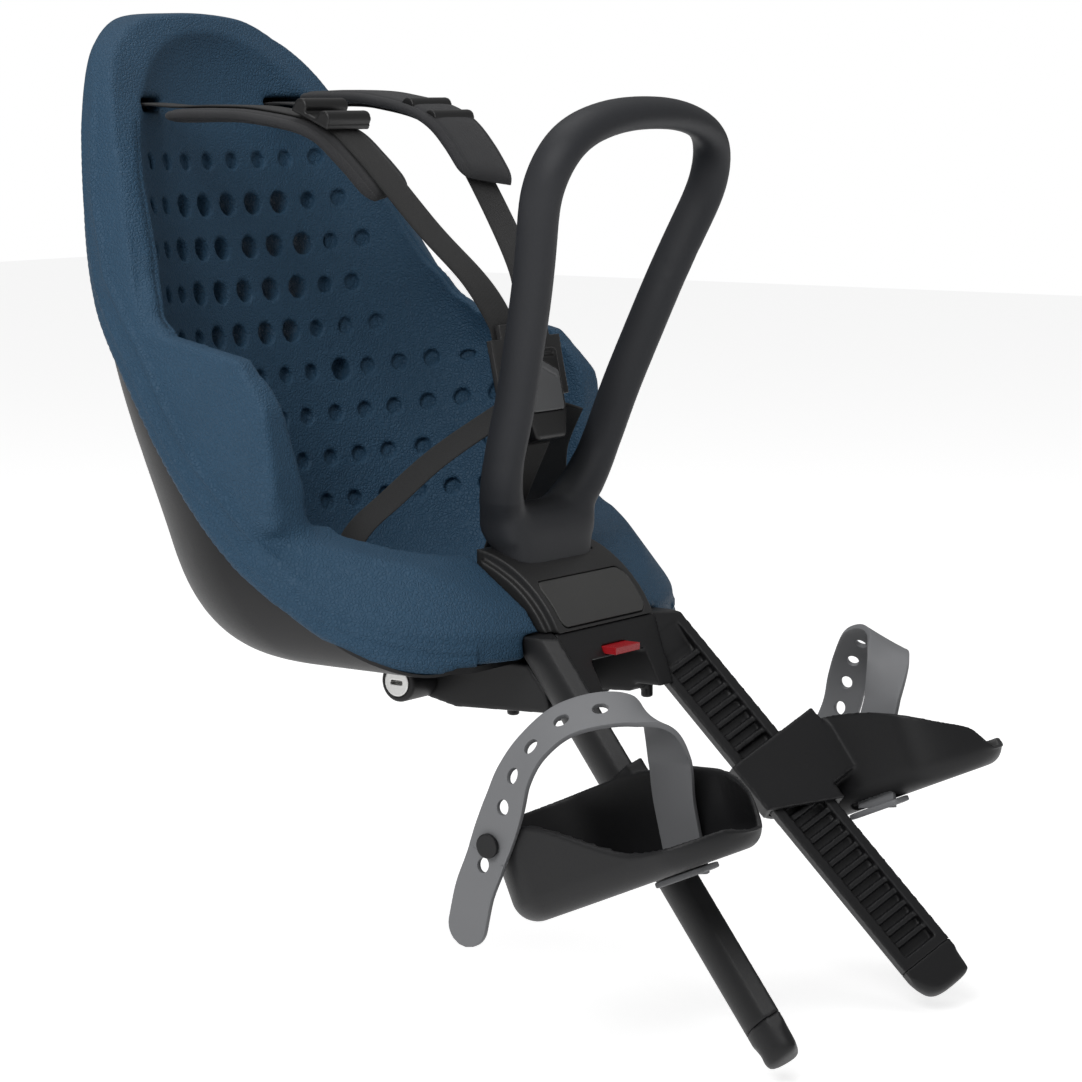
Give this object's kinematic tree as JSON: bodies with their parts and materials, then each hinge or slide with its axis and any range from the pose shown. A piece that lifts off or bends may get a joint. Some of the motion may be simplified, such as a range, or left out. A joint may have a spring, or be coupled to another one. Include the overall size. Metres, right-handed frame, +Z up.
{
  "type": "front-mounted child bicycle seat",
  "caption": "Bucket child seat with foam liner, shoulder harness, grab loop and a front housing that docks ahead of the rider; two toothed legs carry sliding footrests with straps.",
  "frame": {"origin": "middle of the docking socket in the front housing", "axes": "+Z up, -Y forward in the direction of travel, +X to the child's left"},
  "size_m": [0.3494, 0.5203, 0.555],
  "materials": {
    "foam": "matte grained foam",
    "black_plastic": "fine matte grain",
    "panel_plastic": "matte",
    "grip": "soft touch",
    "webbing": "woven",
    "pad_fabric": "woven",
    "strap_rubber": "matte",
    "grey_plastic": "satin",
    "red_tab": "gloss",
    "lock_metal": "satin",
    "steel": "zinc plated"
  },
  "bodies": {
    "seat": {"base_screws": "steel", "buckle_body": "black_plastic", "buckle_tongue_left": "black_plastic", "buckle_tongue_right": "black_plastic", "cover_panel": "panel_plastic", "crotch_strap": "webbing", "front_housing": "black_plastic", "grab_handle": "grip", "housing_cover": "black_plastic", "lap_strap_left": "webbing", "lap_strap_right": "webbing", "leg_cap_left": "black_plastic", "leg_cap_right": "black_plastic", "leg_left": "black_plastic", "leg_right": "black_plastic", "lock_housing": "black_plastic", "pad_back": "foam", "pad_base": "foam", "pad_side_left": "foam", "pad_side_right": "foam", "seat_shell": "black_plastic", "shoulder_pad_left": "pad_fabric", "shoulder_pad_right": "pad_fabric", "shoulder_strap_left": "webbing", "shoulder_strap_right": "webbing", "strap_adjuster_left": "black_plastic", "strap_adjuster_right": "black_plastic", "strap_anchor_left": "black_plastic", "strap_anchor_right": "black_plastic"},
    "footrest_left": {"foot_strap_left": "strap_rubber", "footrest_left": "black_plastic", "strap_stud_left": "black_plastic"},
    "footrest_right": {"foot_strap_right": "strap_rubber", "footrest_right": "black_plastic", "strap_stud_right": "black_plastic"},
    "button": {"buckle_button": "grey_plastic"},
    "lock": {"lock_barrel": "lock_metal"},
    "tab": {"release_tab": "red_tab"}
  },
  "joints": [
    {"name": "footrest_left_slide", "type": "slide", "parent": "seat", "child": "footrest_left", "axis": [0.1286, -0.6717, -0.7296], "range_m": [-0.0336, 0.0588]},
    {"name": "footrest_right_slide", "type": "slide", "parent": "seat", "child": "footrest_right", "axis": [-0.1286, -0.6717, -0.7296], "range_m": [-0.0336, 0.0588]},
    {"name": "buckle_button_press", "type": "slide", "parent": "seat", "child": "button", "axis": [0, 0.9781, -0.2079], "range_m": [0, 0.0026], "stiffness_N_per_m": 400},
    {"name": "lock_turn", "type": "hinge", "parent": "seat", "child": "lock", "pos_m": [-0.07, 0.083, -0.005], "axis": [-1, 0, 0], "range_deg": [0, 90]},
    {"name": "release_tab_press", "type": "slide", "parent": "seat", "child": "tab", "axis": [0, 1, 0], "range_m": [0, 0.004], "stiffness_N_per_m": 300}
  ]
}
